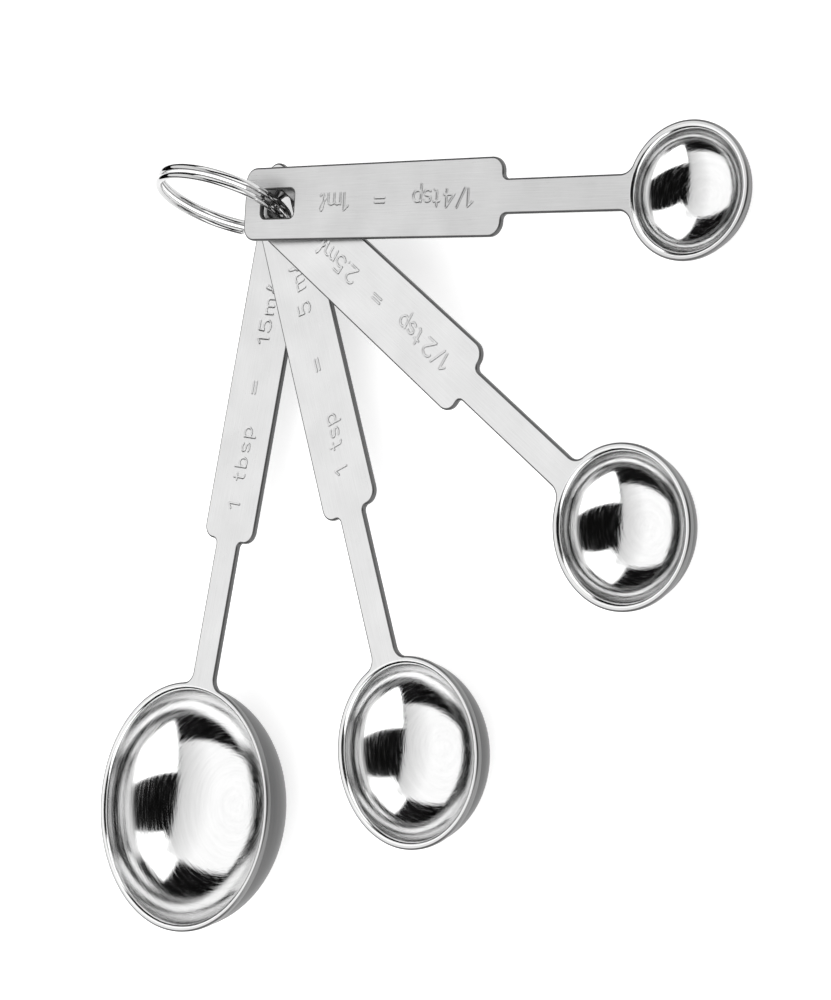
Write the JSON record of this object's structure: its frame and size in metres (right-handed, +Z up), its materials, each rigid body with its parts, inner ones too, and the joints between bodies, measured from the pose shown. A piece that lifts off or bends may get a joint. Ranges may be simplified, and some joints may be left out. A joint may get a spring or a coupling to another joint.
{
  "type": "measuring spoon set",
  "caption": "Stamped steel measuring spoons with round bowls, slotted tabs and narrow necks, fanned out on a two-turn split ring.",
  "frame": {"origin": "on the table, below the middle of the whole set's box", "axes": "+Z up, the tablespoon lies along -Y and the quarter teaspoon nearly along +X"},
  "size_m": [0.1292, 0.1504, 0.0252],
  "materials": {
    "stamped_steel": "satin grain along the tabs and necks, polished bowls",
    "ring_wire": "polished"
  },
  "bodies": {
    "ring": {"split_ring": "ring_wire"},
    "tablespoon": {"tablespoon": "stamped_steel"},
    "teaspoon": {"teaspoon": "stamped_steel"},
    "half_teaspoon": {"half_teaspoon": "stamped_steel"},
    "quarter_teaspoon": {"quarter_teaspoon": "stamped_steel"}
  },
  "joints": [
    {"name": "tablespoon_swing", "type": "hinge", "parent": "ring", "child": "tablespoon", "pos_m": [-0.03903, 0.05839, 0.0031], "axis": [0, 0, 1], "range_deg": [-40, 1.5]},
    {"name": "teaspoon_swing", "type": "hinge", "parent": "ring", "child": "teaspoon", "pos_m": [-0.03596, 0.05955, 0.0064], "axis": [0, 0, 1], "range_deg": [-2.5, 4]},
    {"name": "half_teaspoon_swing", "type": "hinge", "parent": "ring", "child": "half_teaspoon", "pos_m": [-0.03472, 0.06049, 0.0091], "axis": [0, 0, 1], "range_deg": [-4.5, 4]},
    {"name": "quarter_teaspoon_swing", "type": "hinge", "parent": "ring", "child": "quarter_teaspoon", "pos_m": [-0.03423, 0.06146, 0.0119], "axis": [0, 0, 1], "range_deg": [-3.5, 140]}
  ]
}
